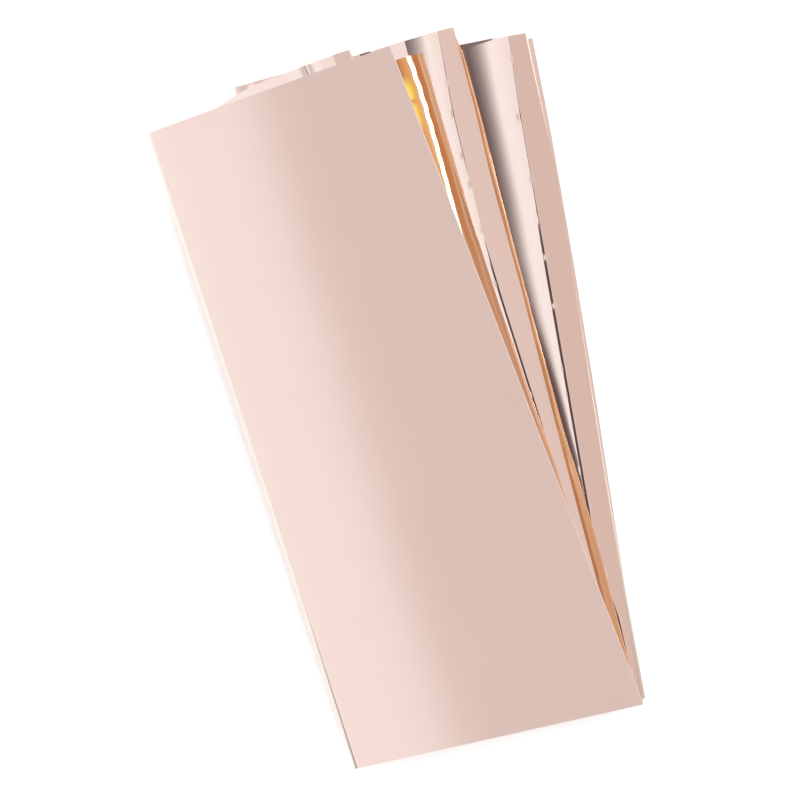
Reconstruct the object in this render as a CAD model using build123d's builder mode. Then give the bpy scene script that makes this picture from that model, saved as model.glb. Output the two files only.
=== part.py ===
"""Copper foil sheet for glass work, folded zig-zag into ten long panels and fanned about one corner.

Frame: the bottom panel lies flat on z = 0 with its long edges along Y. Folds are numbered from the top of the
stack down: odd folds are on the left (-X), even folds on the right (+X), and every right fold starts close to
the corner that the fan opens about.
"""
import os
from math import cos, hypot, radians, sin

from build123d import *

os.makedirs("parts", exist_ok=True)

# Foil
FOIL = 0.127  # thickness of 36 gauge foil
PANELS = 10
STACK_WIDTH = 125.0  # one folded panel, across the near end
SHEET_HEIGHT = 304.8  # 12 inch sheet, along the folds

# Gap between two neighbouring panels, at the near end of the stack and its growth to the far end
OPEN_GAP = 1.6  # on the side where the two are joined by a fold
TOUCH_GAP = 0.8  # on the side where they only lie on each other
FAR_RISE = 0.9
SPRINGY_FOLD = 4
SPRINGY_FAR_RISE = 3.2  # the loosest fold stands open at the far end

# A second crease runs beside some right folds, where the foil was pressed flat once before
BANDED_PANELS = (2, 6, 8)
BAND_WIDTH = 8.0

# A fold's cross-section is a half circle, less a hairline at each end where the panels start
FOLD_HALF_SWEEP = 88.0

# Lines across the sheet, in order: its top free edge, the nine folds, its bottom free edge.
# Each has its near end in plan, its lean to the left of +Y in degrees, and its length.
LINES = (
    ((0.0, 0.0), 11.3, 311.1),
    ((-127.9, -6.4), 8.6, 294.1),
    ((-5.0, 5.0), 14.0, 310.9),
    ((-123.5, -4.5), 7.0, 292.0),
    ((-6.8, 6.0), 8.3, 298.0),
    ((-121.5, -3.5), 1.93, 304.4),
    ((-4.8, 5.5), 5.0, 307.5),
    ((-120.0, -2.5), 1.3, 303.0),
    ((0.9, 2.0), 0.0, 302.8),
    ((-119.0, -1.5), 0.8, 303.5),
    ((1.5, 1.0), -0.5, 302.0),
)


def line_ends(number):
    """Near and far end of a sheet line in plan."""
    (x, y), lean, length = LINES[number]
    return (x, y), (x - length * sin(radians(lean)), y + length * cos(radians(lean)))


def gap(fold, x, y):
    """Height between the middle planes of the two panels that this fold joins, at a point in plan."""
    on_right = fold % 2 == 0
    near_right = OPEN_GAP if on_right else TOUCH_GAP
    near_left = TOUCH_GAP if on_right else OPEN_GAP
    far_rise = SPRINGY_FAR_RISE if fold == SPRINGY_FOLD else FAR_RISE
    return near_right + (near_left - near_right) * -x / STACK_WIDTH + far_rise * y / SHEET_HEIGHT


def height(panel, x, y):
    """Middle plane of a panel above the table: half the foil, and every gap below it."""
    return FOIL / 2 + sum(gap(fold, x, y) for fold in range(panel, PANELS))


def on_panel(panel, point):
    """A plan point lifted on to a panel."""
    return Vector(*point, height(panel, *point))


def inset(line, towards, distance):
    """Plan ends of a sheet line, moved across towards another line by a distance."""
    moved = []
    for a, b in zip(line_ends(line), line_ends(towards)):
        span = hypot(b[0] - a[0], b[1] - a[1])
        moved.append((a[0] + (b[0] - a[0]) * distance / span, a[1] + (b[1] - a[1]) * distance / span))
    return moved


def foil_quad(panel, one_side, other_side):
    """A flat piece of foil in a panel's plane, between two lines given by their plan ends."""
    corners = [on_panel(panel, point) for point in (*one_side, *reversed(other_side))]
    across = corners[3] - corners[0]
    plane = Plane(corners[0], x_dir=across, z_dir=across.cross(corners[1] - corners[0]))
    with BuildPart() as quad:
        with BuildSketch(plane):
            with BuildLine():
                Polyline(*[plane.to_local_coords(corner) for corner in corners], close=True)
            make_face()
        extrude(amount=FOIL / 2, both=True)
    return quad.part


def fold_axis(fold):
    """Centres of a fold's half circle at its near and far end, and the radius at each."""
    ends = []
    for point in line_ends(fold):
        upper = on_panel(fold, point)
        lower = on_panel(fold + 1, point)
        ends.append(((upper + lower) / 2, (upper.Z - lower.Z) / 2))
    return ends


def fold_strip(fold):
    """The bent strip that joins two panels: a half cone of foil, tighter at the near end."""
    (near, near_radius), (far, far_radius) = fold_axis(fold)
    along = (far - near).normalized()
    side = Vector(0, 0, 1).cross(along) * (-1 if fold % 2 == 0 else 1)
    with BuildPart() as strip:
        for centre, radius in ((near, near_radius), (far, far_radius)):
            with BuildSketch(Plane(centre, x_dir=side, z_dir=along)):
                with BuildLine():
                    outer = CenterArc((0, 0), radius + FOIL / 2, -FOLD_HALF_SWEEP, 2 * FOLD_HALF_SWEEP)
                    inner = CenterArc((0, 0), radius - FOIL / 2, -FOLD_HALF_SWEEP, 2 * FOLD_HALF_SWEEP)
                    Line(outer @ 0, inner @ 0)
                    Line(outer @ 1, inner @ 1)
                make_face()
        loft(ruled=True)
    return strip.part


pieces = {}

# Panels, and the pressed bands beside their right folds
for panel in range(1, PANELS + 1):
    left, right = (panel, panel - 1) if panel % 2 else (panel - 1, panel)
    right_side = line_ends(right)
    if panel in BANDED_PANELS:
        crease = inset(right, left, BAND_WIDTH)
        pieces[f"crease_band_{panel:02d}"] = foil_quad(panel, crease, right_side)
        right_side = crease
    pieces[f"panel_{panel:02d}"] = foil_quad(panel, line_ends(left), right_side)

for fold in range(1, PANELS):
    pieces[f"fold_{fold:02d}_{'left' if fold % 2 else 'right'}"] = fold_strip(fold)

# The origin is the middle of the footprint, on the table
footprint = Compound(list(pieces.values())).bounding_box().center()
to_origin = Location((-footprint.X, -footprint.Y, 0))
for name, piece in pieces.items():
    placed = piece.moved(to_origin)
    placed.label = name
    export_step(placed, f"parts/{name}.step")

# Each fold turns about the line through its two centres
for fold in range(1, PANELS):
    (near, _), (far, _) = fold_axis(fold)
    along = (far - near).normalized()
    near -= Vector(footprint.X, footprint.Y, 0)
    print(f"fold {fold} at", [round(v, 4) for v in near], "along", [round(v, 6) for v in along])
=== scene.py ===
"""Copper foil sheet, zig-zag folded and fanned: the looks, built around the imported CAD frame. Metres."""
from math import cos, radians, sin

import bpy
import numpy as np
from mathutils import Matrix, Vector


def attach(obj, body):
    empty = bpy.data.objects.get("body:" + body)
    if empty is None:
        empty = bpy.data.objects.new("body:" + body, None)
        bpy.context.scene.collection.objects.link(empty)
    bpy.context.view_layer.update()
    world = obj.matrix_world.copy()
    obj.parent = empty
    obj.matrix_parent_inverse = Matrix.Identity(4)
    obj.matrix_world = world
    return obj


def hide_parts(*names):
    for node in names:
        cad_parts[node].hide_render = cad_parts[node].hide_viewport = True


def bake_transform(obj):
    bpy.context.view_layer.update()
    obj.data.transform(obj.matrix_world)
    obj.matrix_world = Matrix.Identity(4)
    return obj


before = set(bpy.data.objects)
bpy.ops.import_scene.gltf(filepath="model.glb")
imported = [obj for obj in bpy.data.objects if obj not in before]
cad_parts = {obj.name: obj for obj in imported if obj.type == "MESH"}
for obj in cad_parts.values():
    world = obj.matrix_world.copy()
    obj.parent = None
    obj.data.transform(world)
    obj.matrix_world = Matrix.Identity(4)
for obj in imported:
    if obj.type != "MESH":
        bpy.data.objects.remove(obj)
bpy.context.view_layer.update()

MM = 0.001
FOIL = 0.127 * MM
PANELS = 10
BANDED = (2, 6, 8)
ROWS = 260  # mesh rows along a leaf
EASE_COLUMNS = 45  # mesh columns over the plain rest of a leaf
BEND_COLUMNS = 28  # mesh columns round a bend
SMOOTH_ROWS = 17  # rows over which outline values are evened out
WAVES = 7  # random waves in a leaf's ripple
V = np.linspace(0, 1, ROWS)  # 0 at the near end of the folds, 1 at the far end


# ---------------------------------------------------------------- frame readings

def leaf_body(panel):
    return "base_leaf" if panel == PANELS else f"leaf_{panel:02d}"


def fold_node(fold):
    return f"fold_{fold:02d}_{'left' if fold % 2 else 'right'}"


def plate_corners(node):
    """Middle-plane corners of a flat CAD plate: near left, far left, far right, near right."""
    points = {tuple(round(c, 6) for c in v.co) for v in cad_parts[node].data.vertices}
    points = sorted(points, key=lambda p: p[1])
    corners = []
    for end in (points[:4], points[4:]):
        by_x = sorted(end, key=lambda p: p[0])
        corners.append((np.mean(by_x[:2], axis=0), np.mean(by_x[2:], axis=0)))
    (near_left, near_right), (far_left, far_right) = corners
    return near_left, far_left, far_right, near_right


def leaf_corners(panel):
    """Corners of a whole leaf, its pressed band included."""
    near_left, far_left, far_right, near_right = plate_corners(f"panel_{panel:02d}")
    if panel in BANDED:
        _, _, far_right, near_right = plate_corners(f"crease_band_{panel:02d}")
    return near_left, far_left, far_right, near_right


# ---------------------------------------------------------------- materials

def nodes_of(owner):
    owner.use_nodes = True
    tree = owner.node_tree
    tree.nodes.clear()
    return tree


def add(tree, kind, **inputs):
    node = tree.nodes.new(kind)
    for name, value in inputs.items():
        node.inputs[name.replace("_", " ")].default_value = value
    return node


def math_node(tree, operation, *values):
    """A math node whose inputs are other nodes' outputs or plain numbers."""
    node = tree.nodes.new("ShaderNodeMath")
    node.operation = operation
    for socket, value in zip(node.inputs, values):
        if isinstance(value, bpy.types.NodeSocket):
            tree.links.new(value, socket)
        else:
            socket.default_value = value
    return node.outputs[0]


def rescale(tree, value, source, target=(0, 1), smooth=False):
    """Map a value from the source range to the target range."""
    node = tree.nodes.new("ShaderNodeMapRange")
    if smooth:
        node.interpolation_type = "SMOOTHSTEP"
    tree.links.new(value, node.inputs["Value"])
    node.inputs["From Min"].default_value, node.inputs["From Max"].default_value = source
    node.inputs["To Min"].default_value, node.inputs["To Max"].default_value = target
    return node.outputs["Result"]


def mix_colours(tree, factor, first, second):
    """A blend of two colours, each another node's output or a plain colour."""
    node = tree.nodes.new("ShaderNodeMix")
    node.data_type = "RGBA"
    tree.links.new(factor, node.inputs["Factor"])
    for name, colour in (("A", first), ("B", second)):
        if isinstance(colour, bpy.types.NodeSocket):
            tree.links.new(colour, node.inputs[name])
        else:
            node.inputs[name].default_value = (*colour, 1)
    return node.outputs["Result"]


def ramp_node(tree, value, low, high, stops):
    """A colour for each value from low to high; stops are (value, colour)."""
    ramp = tree.nodes.new("ShaderNodeValToRGB")
    elements = ramp.color_ramp.elements
    while len(elements) < len(stops):
        elements.new(0.5)
    for element, (place, colour) in zip(elements, stops):
        element.position = (place - low) / (high - low)
        element.color = (*colour, 1)
    tree.links.new(rescale(tree, value, (low, high)), ramp.inputs["Fac"])
    return ramp.outputs["Color"]


def grey(level):
    return (level, level, level)


OFF, ON = grey(0), grey(1)
ROSE = (0.925, 0.728, 0.672)
# Painted shade: the dark orange at the nose of the open bend
DEEP_PAINTED_SHADE = (0.62, 0.27, 0.12)
# Painted highlight: pale cream for the left bends, standing in for the bright floor they mirror
CREAM_PAINTED_HIGHLIGHT = (0.93, 0.82, 0.73)
# Painted shade: a darker copy of the face copper for two of the right bends
SIDE_PAINTED_SHADE = (0.76, 0.6, 0.52)
# Painted reflection: the golden glow of the lamp's highlight mirrored in copper
GOLD_PAINTED_REFLECTION = (1.0, 0.66, 0.10)
# Two golden patches of painted reflection deep in the loose loop: how far in from its nose, and where along
# it, metres
GOLD_REFLECTION_IN = ((0.0082, OFF), (0.0104, ON))
GOLD_REFLECTION_ALONG = ((0.264, OFF), (0.269, ON), (0.275, ON), (0.2782, OFF), (0.2795, ON), (0.284, ON), (0.290, OFF))


def copper(name, tints, roughness, near_reflection_tint=None, painted_gold=False):
    """Bright rolled copper foil. tints are (mm across the sheet, base colour); on the loose loop and the bends
    these colours are painted reflection and painted shade of copper mirrored in copper. The near-half tint, a
    painted reflection, takes over in the near half, and the golden-patch flag adds two golden patches of
    painted reflection. Faint mill lines run along the sheet, with soft stains and a little grime; all of it is
    laid out in the sheet's own UV, metres."""
    material = bpy.data.materials.new(name)
    tree = nodes_of(material)
    link = tree.links.new
    out = add(tree, "ShaderNodeOutputMaterial")
    shader = add(tree, "ShaderNodeBsdfPrincipled", Metallic=1.0)
    link(shader.outputs["BSDF"], out.inputs["Surface"])
    place = add(tree, "ShaderNodeTexCoord").outputs["UV"]

    mill_map = add(tree, "ShaderNodeMapping", Scale=(2500.0, 9.0, 1.0))
    link(place, mill_map.inputs["Vector"])
    mill = add(tree, "ShaderNodeTexNoise", Scale=1.0, Detail=2.0)
    link(mill_map.outputs["Vector"], mill.inputs["Vector"])
    stain = add(tree, "ShaderNodeTexNoise", Scale=38.0, Detail=5.0)
    link(place, stain.inputs["Vector"])

    across = add(tree, "ShaderNodeSeparateXYZ")
    link(place, across.inputs["Vector"])
    wander = math_node(tree, "MULTIPLY_ADD", stain.outputs["Fac"], 2 * MM, -1 * MM)
    wandered = math_node(tree, "ADD", across.outputs["X"], wander)
    low, high = tints[0][0] * MM, tints[-1][0] * MM
    base_and_painted_light = ramp_node(tree, wandered, low, high, [(s * MM, c) for s, c in tints])
    # Painted reflection: the near half takes one plain orange tint
    if near_reflection_tint:
        far = ramp_node(tree, across.outputs["Y"], 0.15, 0.24, ((0.16, OFF), (0.23, ON)))
        base_and_painted_light = mix_colours(tree, far, near_reflection_tint, base_and_painted_light)
    # Painted reflection: two golden patches
    if painted_gold:
        inward = ramp_node(tree, wandered, 0.007, 0.013, GOLD_REFLECTION_IN)
        ragged = math_node(tree, "MULTIPLY_ADD", stain.outputs["Fac"], 0.01, -0.005)
        ragged = math_node(tree, "ADD", ragged, across.outputs["Y"])
        reflection_patch = ramp_node(tree, ragged, 0.26, 0.30, GOLD_REFLECTION_ALONG)
        base_and_painted_light = mix_colours(tree, math_node(tree, "MULTIPLY", inward, reflection_patch), base_and_painted_light, GOLD_PAINTED_REFLECTION)

    grime = rescale(tree, stain.outputs["Fac"], (0.35, 0.75), (0.985, 1.0))
    dulled = tree.nodes.new("ShaderNodeVectorMath")
    dulled.operation = "SCALE"
    link(base_and_painted_light, dulled.inputs[0])
    link(grime, dulled.inputs["Scale"])
    link(dulled.outputs[0], shader.inputs["Base Color"])

    rough = rescale(tree, stain.outputs["Fac"], (0, 1), (roughness * 0.7, roughness * 1.3))
    link(rough, shader.inputs["Roughness"])

    bump = add(tree, "ShaderNodeBump", Strength=0.02, Distance=0.00001)
    link(mill.outputs["Fac"], bump.inputs["Height"])
    link(bump.outputs["Normal"], shader.inputs["Normal"])
    return material


# Across the loose loop, from its nose: painted reflection and painted shade, the brown, orange and golden
# tones of copper mirrored in copper, paler under the lamp's highlight and darkest where the loop goes under
# the front leaf
LOOP_PAINTED_REFLECTION_TINTS = (
    (0, (0.60, 0.31, 0.19)),
    (1.7, (0.66, 0.36, 0.21)),
    (2.3, (0.92, 0.56, 0.33)),
    (2.9, (0.72, 0.30, 0.13)),
    (4.8, (0.62, 0.235, 0.09)),
    (6.5, (0.90, 0.66, 0.42)),
    (8.0, (0.80, 0.38, 0.15)),
    (10.5, (0.66, 0.27, 0.10)),
    (13, (0.42, 0.16, 0.08)),
    (17, ROSE),
)
# Painted reflection: the loop's plain orange over its near half
LOOP_NEAR_PAINTED_REFLECTION = (0.715, 0.39, 0.245)
# Across the open bend from its nose: painted shade, then the orange painted reflection of copper mirrored in
# copper
BEND_PAINTED_REFLECTION_TINTS = ((0, DEEP_PAINTED_SHADE), (0.7, DEEP_PAINTED_SHADE), (1.2, (0.86, 0.5, 0.29)), (3, (0.8, 0.42, 0.24)))

# The loop and the bends carry painted reflection, painted highlight and painted shade in their tints; the
# plain faces are the copper's own colour
FACE = copper("copper_face", ((0, ROSE), (120, ROSE)), 0.05)
ROLL_PAINTED_REFLECTION = copper("copper_roll_painted_reflection", LOOP_PAINTED_REFLECTION_TINTS, 0.05, LOOP_NEAR_PAINTED_REFLECTION, painted_gold=True)
BEND_PAINTED_REFLECTION = copper("copper_bend_painted_reflection_and_shade", BEND_PAINTED_REFLECTION_TINTS, 0.07)
PAINTED_HIGHLIGHT_BEND = copper("copper_bend_painted_highlight", ((0, CREAM_PAINTED_HIGHLIGHT), (1, CREAM_PAINTED_HIGHLIGHT)), 0.1)
PAINTED_SHADE_BEND = copper("copper_bend_painted_shade", ((0, SIDE_PAINTED_SHADE), (1, SIDE_PAINTED_SHADE)), 0.1)


# ---------------------------------------------------------------- meshes

def thin_sheet(name, points, places, material):
    """A closed piece of foil about a grid of middle-surface points, rows by columns; places are their UVs."""
    rows, columns, _ = points.shape
    lengthwise = np.gradient(points, axis=0)
    crosswise = np.gradient(points, axis=1)
    normal = np.cross(crosswise, lengthwise)
    normal /= np.linalg.norm(normal, axis=2, keepdims=True)
    upper = (points + normal * FOIL / 2).reshape(-1, 3)
    lower = (points - normal * FOIL / 2).reshape(-1, 3)
    count = rows * columns
    index = np.arange(count).reshape(rows, columns)
    quads = np.stack([index[:-1, :-1], index[:-1, 1:], index[1:, 1:], index[1:, :-1]], axis=-1).reshape(-1, 4)
    rim = np.concatenate([index[0, :], index[1:, -1], index[-1, -2::-1], index[-2:0:-1, 0]])
    after = np.roll(rim, -1)
    sides = np.stack([after, rim, rim + count, after + count], axis=-1)
    faces = np.concatenate([quads, quads[:, ::-1] + count, sides])
    mesh = bpy.data.meshes.new(name)
    mesh.from_pydata(np.concatenate([upper, lower]).tolist(), [], faces.tolist())
    on_rim = np.zeros(2 * count, bool)
    on_rim[rim] = True
    on_rim[rim + count] = True
    ends = np.empty(len(mesh.edges) * 2, int)
    mesh.edges.foreach_get("vertices", ends)
    ends = ends.reshape(-1, 2)
    same_side = (ends < count).all(axis=1) | (ends >= count).all(axis=1)
    sharp = on_rim[ends].all(axis=1) & same_side
    mesh.attributes.new("sharp_edge", "BOOLEAN", "EDGE").data.foreach_set("value", sharp)
    mesh.polygons.foreach_set("use_smooth", [True] * len(mesh.polygons))
    uv = np.concatenate([places.reshape(-1, 2)] * 2)[faces.ravel()]
    mesh.uv_layers.new(name="sheet").data.foreach_set("uv", uv.ravel())
    mesh.materials.append(material)
    mesh.update()
    piece = bpy.data.objects.new(name, mesh)
    bpy.context.collection.objects.link(piece)
    return piece


def along(*points):
    """A smooth value for every mesh row; points are (place from 0 near to 1 far, value)."""
    places, values = zip(*points)
    raw = np.interp(V, places, values)
    window = np.hanning(SMOOTH_ROWS)
    return np.convolve(np.pad(raw, SMOOTH_ROWS // 2, mode="edge"), window / window.sum(), "valid")


def ripple(s, y, height, length, seed):
    """Gentle random waves over a leaf; s and y are metres across and along it."""
    random = np.random.default_rng(seed)
    total = np.zeros_like(s)
    for _ in range(WAVES):
        heading, phase = random.uniform(0, 2 * np.pi, 2)
        size = length * random.uniform(0.6, 1.6)
        total += np.sin((s * np.cos(heading) + y * np.sin(heading)) * 2 * np.pi / size + phase)
    return total * height / WAVES


# ---------------------------------------------------------------- leaves

# How far each leaf's right edge stands outside its fold line, mm
EDGE_OUT = {
    6: along((0, -1.1), (0.25, -1.1), (0.4, -0.9), (0.5, -0.5), (0.6, -0.1), (0.77, -0.5), (0.87, 0.5),
             (1, 0.5)),
    8: along((0, -0.9), (0.15, -0.9), (0.29, -0.1), (0.44, 1.0), (0.6, 2.0), (0.75, 2.7), (0.84, 2.1),
             (1, -0.4)),
    10: along((0, -0.4), (0.13, 0), (0.3, 0.6), (0.44, 1.2), (0.65, 1.5), (0.85, 1.2), (1, 0)),
}

# Distance of each pressed crease from its leaf's fold line, mm
CREASE = {
    2: along((0, 8), (0.9, 8), (1, 6.4)),
    6: along((0, 3.4), (0.39, 6.4), (0.47, 7.6), (0.6, 9.5), (0.7, 10.4), (0.88, 9.2), (1, 6.4)),
    8: along((0, 2.5), (0.12, 4.0), (0.17, 6.5), (0.25, 8.8), (0.6, 8.6), (0.9, 8.5), (1, 7.5)),
}

# Where the next leaf up hides this one, mm from its fold line
COVER = {
    6: along((0, 4), (0.3, 5.5), (0.41, 8), (0.6, 11.6), (0.7, 13.1), (1, 14.5)),
    8: along((0, 3), (0.12, 5.6), (0.17, 7.9), (0.25, 9.6), (0.36, 12.8), (0.5, 17), (0.6, 19.6), (0.8, 24.7),
             (1, 28.5)),
}

# How far each fold's nose stands out of its fold line, mm, and how round it is: 1 is a sharp V, 2 a parabola
BULGE = {
    1: (along((0, 1.5), (1, 1.6)), 1.25),
    2: (along((0, 0.8), (1, 1.3)), 1.4),
    4: (along((0, 1.6), (0.3, 1.8), (0.36, 2.3), (0.45, 1.2), (0.61, 0.5), (0.74, 0.7), (0.86, 1.8),
              (1, 3.2)), 2.2),
    6: (along((0, 2.6), (0.22, 3.0), (0.3, 2.3), (0.4, 1.3), (0.6, 1.45), (0.77, 1.5), (0.86, 2.4),
              (0.96, 2.2), (0.985, 0.9), (1, 0.1)), 1.4),
    8: (along((0, 0.8), (0.15, 0.4), (0.29, 0.9), (0.44, 1.9), (0.6, 2.8), (0.75, 3.4), (0.84, 2.9),
              (1, 0.4)), 2.0),
}
OTHER_BULGE = (along((0, 1.0), (1, 1.4)), 1.3)
LEAST_REACH = 0.35  # how far a nose stands out of its leaf's own edge at the least, mm
LOOP_NOSE = BULGE[4][0]


def stretches(panel):
    """The leaf's cross-section, from the right edge leftwards: (end in mm from the fold line, slope at its
    start, slope at its end, mesh columns). Ends and slopes are numbers or one value a row; slopes are degrees
    that the leaf falls towards its left edge."""
    if panel == 1:
        return [(0.4, 2.6, 2.6, 3), (1.9, 0, 0, 4), (2.1, 1.2, 1.2, 2), (2.3, -1.2, -1.2, 2), (3, 0, 0, 3)]
    if panel == 2:
        crease = CREASE[2]
        pale = along((0, 0), (0.75, 0), (0.88, 1.25), (1, 1.25))
        return [(crease, -1.5, -1.5, 10), (crease + 6.6, 1.65, 1.7, 12), (crease + 11, 1.9, 3.15, 10),
                (crease + 12.6, 3.2, 3.2, 4), (crease + 13.4, 0.8, 4.5, 4), (crease + 16, 3.15, 3.0, 6),
                (crease + 24, 2.7, 1.3, 12), (56, pale, pale, 10), (62, pale, 0.5 * pale, 4)]
    if panel == 4:
        return roll_stretches()
    if panel == 6:
        crease, cover = CREASE[6], COVER[6]
        groove = along((0, 7.5), (0.66, 9.0), (0.69, 3.6), (0.77, 3.8), (0.8, 6.5), (0.93, 6.5), (0.97, 5.5),
                       (1, 5.5))
        valley = along((0, 6.5), (0.62, 8.0), (0.67, 3.4), (1, 3.4))
        shade = along((0, 3.6), (0.86, 3.7), (0.94, 4.4), (1, 4.7))
        return [(crease - 0.35, -3, -3, 14), (crease, -3, -1, 5), (crease + 0.4, groove, groove, 4),
                (crease + 0.95, valley, valley, 5), (crease + 0.45 * (cover - crease) + 0.95, 3.3, 3.7, 10),
                (cover, 3.8, shade, 12), (22.6, shade, along((0, 3.5), (0.9, 4.9), (1, 5.8)), 12),
                (23.1, 2.4, 2.4, 2), (38, 2.4, 2.4, 12), (44, 5.0, 5.0, 8)]
    if panel == 8:
        crease, cover = CREASE[8], COVER[8]
        wide = cover - crease
        groove = along((0, 9.5), (0.70, 9.5), (0.77, 6.8), (1, 6.6))
        valley = along((0, 9.5), (0.64, 9.0), (0.72, 6), (0.76, 4.4), (1, 4.4))
        middle = along((0, 0.02), (0.3, 0.05), (0.38, 0.4), (0.5, 0.6), (0.58, 0.74), (0.66, 0.7),
                       (0.76, 0.6), (1, 0.56))
        edge = along((0, 8.0), (0.48, 8.0), (0.56, 6.6), (0.66, 6.2), (0.75, 6.5), (0.85, 6.8), (1, 6.8))
        turn = 5.25 + 0.3 * V
        return [(crease - 0.35, -6, -6, 14), (crease, -6, -3, 5), (crease + 0.4, groove, groove, 4),
                (crease + 1.1, valley, valley, 6), (crease + 0.5 * middle * wide + 0.7, 4.3, 4.8, 10),
                (crease + middle * wide, 4.8, turn, 14), (cover, turn, edge, 16), (cover + 4, edge, 3, 6)]
    if panel == 9:
        dip = along((0, 0), (0.9, 0), (0.96, 7), (1, 7))
        return [(13, 0, 0, 12), (15, 0, dip, 4), (32, dip, dip, 16), (34, dip, 0, 4)]
    return [(6, 0, 0, 5)]


def roll_stretches():
    """The loose loop at the springiest fold, measured from its nose: a rounded side, a broad crest, a tight
    shoulder that catches the lamp, and a flank that goes under the front leaf."""
    shine = along((0, 6.4), (0.72, 6.7), (0.8, 6.3), (0.86, 5.9), (0.93, 5.8), (0.97, 6.4), (1, 6.9))
    shine += 0.2 * np.sin(V * 210) * along((0, 0), (0.8, 0.3), (0.9, 1), (1, 1))
    wide = along((0, 0.6), (0.75, 0.75), (0.9, 0.9), (1, 1.0))
    steep = along((0, 0.0), (0.45, 0.0), (0.6, 1), (1, 1))
    from_nose = [(2.1, -7, -5, 4), (2.4, -1, -1, 2), (shine - wide - 0.3, -5, -2, 8),
                 (shine - wide, -2, -2 - 8 * steep, 3), (shine, -2 - 10.8 * steep, -2 - 11.4 * steep, 6),
                 (shine + wide, -2 - 11.4 * steep, -2 - 12.2 * steep, 6),
                 (shine + wide + 0.3, -9 * steep, 0, 3), (shine + 3.4, 3, 3, 8), (14, 3, 4.4, 8)]
    return [(end - LOOP_NOSE, *slopes, columns) for end, *slopes, columns in from_nose]


def leaf_grid(panel):
    """Middle-surface points of a leaf, and their UVs, rows by columns from the left edge to the right."""
    near_left, far_left, far_right, near_right = leaf_corners(panel)
    right = near_right + (far_right - near_right) * V[:, None]
    left = near_left + (far_left - near_left) * V[:, None]
    width = np.linalg.norm(left - right, axis=1)
    toward_left = (left - right) / width[:, None]
    normal = np.cross(near_right - near_left, far_left - near_left)
    normal /= np.linalg.norm(normal)

    start = -EDGE_OUT.get(panel, np.zeros(ROWS)) * MM
    s_parts, slope_parts = [start[:, None]], []
    for end, slope_from, slope_to, columns in stretches(panel):
        begin = s_parts[-1][:, -1]
        end = np.maximum(np.broadcast_to(end, ROWS) * MM, begin + 0.02 * MM)
        step = np.linspace(0, 1, columns + 1)
        s_parts.append(begin[:, None] + (end - begin)[:, None] * step[1:])
        middle = (step[1:] + step[:-1]) / 2
        slope_from, slope_to = (np.broadcast_to(x, ROWS)[:, None] for x in (slope_from, slope_to))
        slope_parts.append(slope_from + (slope_to - slope_from) * middle)
    begin = s_parts[-1][:, -1]
    step = np.linspace(0, 1, EASE_COLUMNS + 1)
    s_parts.append(begin[:, None] + (width - begin)[:, None] * step[1:])
    s = np.concatenate(s_parts, axis=1)
    slopes = np.tan(np.radians(np.concatenate(slope_parts, axis=1)))
    shaped = slopes.shape[1]
    height = np.zeros_like(s)
    height[:, 1:shaped + 1] = -np.cumsum(slopes * np.diff(s[:, :shaped + 1], axis=1), axis=1)
    ease = 1 - step[1:]
    height[:, shaped + 1:] = height[:, shaped:shaped + 1] * ease * ease * (3 - 2 * ease)

    y = np.broadcast_to(V[:, None] * np.linalg.norm(far_right - near_right), s.shape)
    calm = np.minimum(1, np.minimum(s - start[:, None], width[:, None] - s) / (4 * MM))
    wave = (0.006 if panel == 1 else 0.03) * MM
    height += ripple(s, y, wave, 70 * MM, panel) * calm
    height += dents(panel, s, y)
    if panel == 4:
        height += 0.35 * along((0, 0), (0.3, 0.2), (1, 1))[:, None] * MM

    points = right[:, None] + toward_left[:, None] * s[..., None] + normal * height[..., None]
    far_way = (far_right - near_right) / np.linalg.norm(far_right - near_right)
    points += far_way * (far_out(panel, s) * V[:, None])[..., None]
    shift = LOOP_NOSE[:, None] * MM if panel == 4 else 0
    return points[:, ::-1], np.stack([s + shift, y], axis=-1)[:, ::-1]


def far_out(panel, s):
    """How far a leaf's far cut edge stands out of its straight CAD edge, metres."""
    if panel == 2:
        return np.interp(s / MM, (0, 8, 23, 39, 50, 58, 66, 75, 88, 100),
                         (0, 0.5, 1.3, 2.1, 1.6, 0.2, -1.2, -1.8, -1.4, 0)) * MM
    if panel == 6:
        return np.interp(s / MM, (45, 60, 90, 120), (0, 0.5, 0.5, 0)) * MM
    if panel == 9:
        return np.interp(s / MM, (10, 15, 30, 45), (0, 1.0, 1.2, 0)) * MM
    if panel == 8:
        return -np.interp(s / MM, (0, 13.5, 28, 60, 110), (0, 0, 1.5, 1.5, 0)) * MM
    return np.zeros_like(s)


DIMPLE_FROM = 292 * MM  # along a leaf, from its near end


def dents(panel, s, y):
    """Small crimps where a pressed crease was bent back and forth, and a dimple at the far end of some left
    folds."""
    random = np.random.default_rng(40 + panel)
    total = np.zeros_like(s)
    if panel in (4, 5, 6):
        from_left = s[:, -1:] - s
        end = np.maximum(0, y - DIMPLE_FROM) / (10 * MM)
        total -= np.minimum(end, 1) * 0.22 * MM * np.exp(-((from_left - 5 * MM) / (1.3 * MM)) ** 2)
    if panel not in (6, 8):
        return total
    crease = CREASE[panel][:, None] * MM
    place = 12 * MM
    while place < 300 * MM:
        depth = random.uniform(0.05, 0.13) * MM
        reach = random.uniform(0.5, 1.0) * MM
        off = random.uniform(-0.2, 0.8) * MM
        total -= depth * np.exp(-(((s - crease - off) / reach) ** 2) - ((y - place) / (1.2 * MM)) ** 2)
        place += random.uniform(11, 30) * MM
    return total


LEAVES = {panel: leaf_grid(panel) for panel in range(1, PANELS + 1)}


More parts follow.
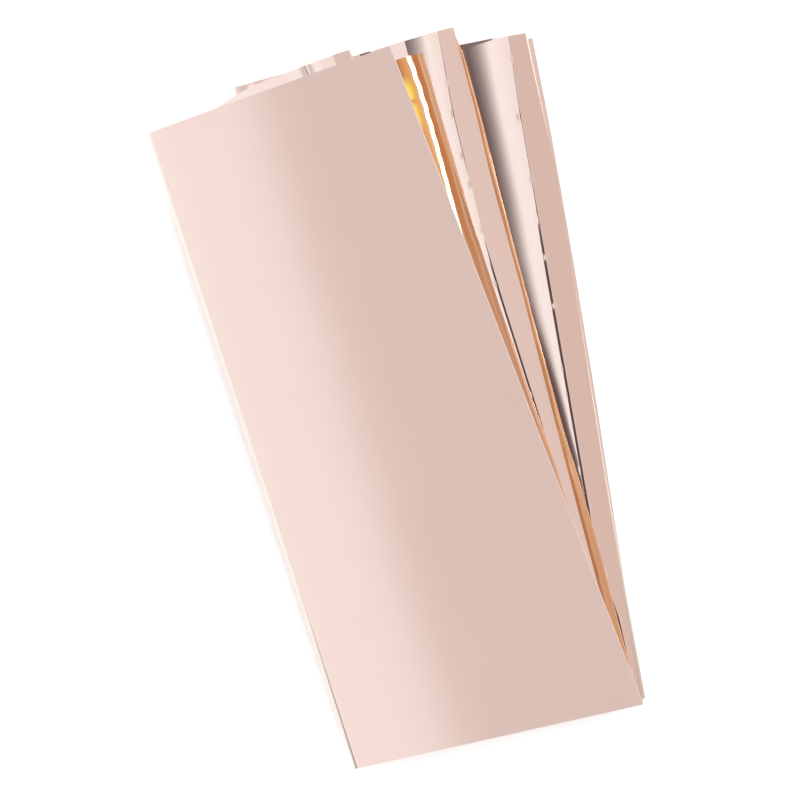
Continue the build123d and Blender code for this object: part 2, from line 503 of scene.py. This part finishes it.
def make_leaf(panel):
    points, places = LEAVES[panel]
    piece = thin_sheet(f"foil_leaf_{panel:02d}", points, places, ROLL_PAINTED_REFLECTION if panel == 4 else FACE)
    nodes = [f"panel_{panel:02d}"]
    if panel in BANDED:
        nodes.append(f"crease_band_{panel:02d}")
    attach(piece, leaf_body(panel))
    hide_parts(*nodes)


# ---------------------------------------------------------------- folds

def fold_grid(fold):
    """The bent strip between two leaves: each cross-section is one curve from the upper leaf's edge, round a
    nose, to the lower leaf's edge."""
    left_side = fold % 2 == 1
    side = 0 if left_side else -1
    upper = LEAVES[fold][0][:, side]
    lower = LEAVES[fold + 1][0][:, side]
    bulge, roundness = BULGE.get(fold, OTHER_BULGE)
    line = lower[-1] - lower[0]
    outward = np.cross(line, (0, 0, 1)) * (-1 if left_side else 1)
    outward /= np.linalg.norm(outward)
    turn = np.linspace(0, np.pi, BEND_COLUMNS + 1)
    share = (1 - np.cos(turn)) / 2
    foot = 0 if left_side else EDGE_OUT.get(fold, np.zeros(ROWS))
    reach = np.maximum(bulge - foot, LEAST_REACH) * MM
    base = upper[:, None] * (1 - share[:, None]) + lower[:, None] * share[:, None]
    poke = reach[:, None] * (1 - np.abs(2 * share - 1) ** roundness)
    points = base + outward * poke[..., None]
    length = np.linalg.norm(line)
    across = reach[:, None] - poke if fold == 4 else reach[:, None] * share * 2
    places = np.stack(np.broadcast_arrays(across, V[:, None] * length), axis=-1)
    return (points[:, ::-1], places[:, ::-1]) if left_side else (points, places)


def make_fold(fold):
    """The bent strip between two leaves, as one fixed piece of foil in world space; its CAD fold node is
    hidden.
    """
    material = {2: PAINTED_SHADE_BEND, 4: ROLL_PAINTED_REFLECTION, 6: BEND_PAINTED_REFLECTION, 8: PAINTED_SHADE_BEND}.get(fold, PAINTED_HIGHLIGHT_BEND)
    points, places = fold_grid(fold)
    piece = thin_sheet(f"foil_bend_{fold:02d}", points, places, material)
    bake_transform(piece)
    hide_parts(fold_node(fold))


for panel in range(1, PANELS + 1):
    make_leaf(panel)
for fold in range(1, PANELS):
    make_fold(fold)


# ---------------------------------------------------------------- studio

FLOOR_Z = -0.0002


def make_floor():
    bpy.ops.mesh.primitive_plane_add(size=6, location=(0, 0, FLOOR_Z))
    floor = bpy.context.object
    floor.name = "studio_floor"
    material = bpy.data.materials.new("studio_floor")
    tree = nodes_of(material)
    out = add(tree, "ShaderNodeOutputMaterial")
    shader = add(tree, "ShaderNodeBsdfPrincipled", Roughness=0.9)
    shader.inputs["Base Color"].default_value = (0.95, 0.95, 0.95, 1)
    tree.links.new(shader.outputs["BSDF"], out.inputs["Surface"])
    floor.data.materials.append(material)


# The studio ceiling, by the angle from overhead towards the right, degrees: (angle, light)
OVERHEAD = (
    (-12, (0.11, 0.085, 0.085)),
    (-9.5, (0.12, 0.09, 0.09)),
    (-7.5, (0.17, 0.14, 0.14)),
    (-6.2, (0.36, 0.34, 0.34)),
    (-5.2, (0.68, 0.69, 0.69)),
    (-4.3, (1.06, 1.13, 1.13)),
    (-3.0, (1.05, 1.12, 1.12)),
    (-1.8, grey(1.0)),
    (-0.6, grey(1.0)),
    (0.2, (0.92, 0.91, 0.90)),
    (0.9, (0.81, 0.77, 0.75)),
    (1.6, (0.772, 0.732, 0.712)),
    (5.4, (0.762, 0.722, 0.700)),
    (8.5, (0.825, 0.765, 0.735)),
    (12, (0.81, 0.74, 0.705)),
)
# The same over the whole sky, for the foil that leans further
AROUND = (
    (-90, grey(1.1)),
    (-57, grey(1.1)),
    (-54, grey(0.42)),
    (-49, grey(0.42)),
    (-43, grey(0.85)),
    (-31, grey(0.85)),
    (-27.5, (0.11, 0.085, 0.085)),
    (-12, (0.11, 0.085, 0.085)),
    (12, (0.81, 0.74, 0.705)),
    (17, (0.755, 0.665, 0.615)),
    (25, (0.74, 0.66, 0.62)),
    (27.5, (0.75, 0.67, 0.63)),
    (40, grey(0.8)),
    (60, grey(0.95)),
    (90, grey(1.05)),
)
OVERHEAD_END = 11.9  # degrees either side; AROUND takes over from there
SKY_LEAN = 0.126  # the ceiling's light bands run a little across the sheet's length
LAMP = ((27.5, OFF), (28.5, ON), (33.5, ON), (34.5, OFF))  # degrees, as above
LAMP_END = ((0.085, OFF), (0.11, ON))  # the lamp hangs over the far end only, by the ray's own Y
LAMP_LIGHT = grey(9)
HORIZON = grey(1.05)


def make_world():
    """A soft studio ceiling: a bright panel overhead, a greyer one to its right, a dark gap to its left, and
    a thin bright lamp further right. Near the horizon all of it fades to plain white."""
    world = bpy.data.worlds.new("studio")
    bpy.context.scene.world = world
    tree = nodes_of(world)
    link = tree.links.new
    out = add(tree, "ShaderNodeOutputWorld")
    back = add(tree, "ShaderNodeBackground", Strength=1.0)
    link(back.outputs["Background"], out.inputs["Surface"])
    place = add(tree, "ShaderNodeTexCoord")
    split = add(tree, "ShaderNodeSeparateXYZ")
    link(place.outputs["Generated"], split.inputs["Vector"])
    sideways = math_node(tree, "MULTIPLY_ADD", split.outputs["Y"], SKY_LEAN, split.outputs["X"])
    angle = math_node(tree, "ARCTAN2", sideways, split.outputs["Z"])
    degrees = math_node(tree, "MULTIPLY", angle, 180 / np.pi)
    fine = ramp_node(tree, degrees, -12, 12, OVERHEAD)
    coarse = ramp_node(tree, degrees, -90, 90, AROUND)
    near = math_node(tree, "LESS_THAN", math_node(tree, "ABSOLUTE", degrees), OVERHEAD_END)
    pattern = mix_colours(tree, near, coarse, fine)
    lamp = ramp_node(tree, degrees, 24, 38, LAMP)
    lamp_end = ramp_node(tree, split.outputs["Y"], 0, 0.2, LAMP_END)
    lit = mix_colours(tree, math_node(tree, "MULTIPLY", lamp, lamp_end), pattern, LAMP_LIGHT)
    rise = rescale(tree, split.outputs["Z"], (0.25, 0.5), smooth=True)
    link(mix_colours(tree, rise, HORIZON, lit), back.inputs["Color"])


def area_light(name, place, aim, size, size_y, power):
    light = bpy.data.lights.new(name, "AREA")
    light.shape = "RECTANGLE"
    light.size = size
    light.size_y = size_y
    light.energy = power
    holder = bpy.data.objects.new(name, light)
    bpy.context.collection.objects.link(holder)
    holder.location = place
    holder.rotation_euler = (Vector(aim) - Vector(place)).to_track_quat("-Z", "Y").to_euler()


CAMERA_DISTANCE = 0.984
CAMERA_TILT = radians(5.0)
CAMERA_ROLL = radians(9.6)
CAMERA_AIM = Vector((0.0018, -0.0031, 0.010))


def make_camera():
    up_flat = Vector((sin(CAMERA_ROLL), cos(CAMERA_ROLL), 0))
    right = Vector((cos(CAMERA_ROLL), -sin(CAMERA_ROLL), 0))
    back = Vector((0, 0, 1)) * cos(CAMERA_TILT) - up_flat * sin(CAMERA_TILT)
    up = up_flat * cos(CAMERA_TILT) + Vector((0, 0, 1)) * sin(CAMERA_TILT)
    data = bpy.data.cameras.new("camera")
    data.lens = 100
    data.sensor_width = 36
    data.clip_start = 0.01
    camera = bpy.data.objects.new("camera", data)
    bpy.context.collection.objects.link(camera)
    turn = Matrix((right, up, back)).transposed().to_4x4()
    camera.matrix_world = Matrix.Translation(CAMERA_AIM + back * CAMERA_DISTANCE) @ turn
    bpy.context.scene.camera = camera


make_floor()
make_world()
area_light("front_fill", (0.2, -1.6, 1.2), (0, 0, 0), 1.5, 0.8, 30)
area_light("back_fill", (-0.2, 1.6, 1.2), (0, 0, 0), 1.5, 0.8, 30)
make_camera()
bpy.context.scene.view_settings.view_transform = "Standard"
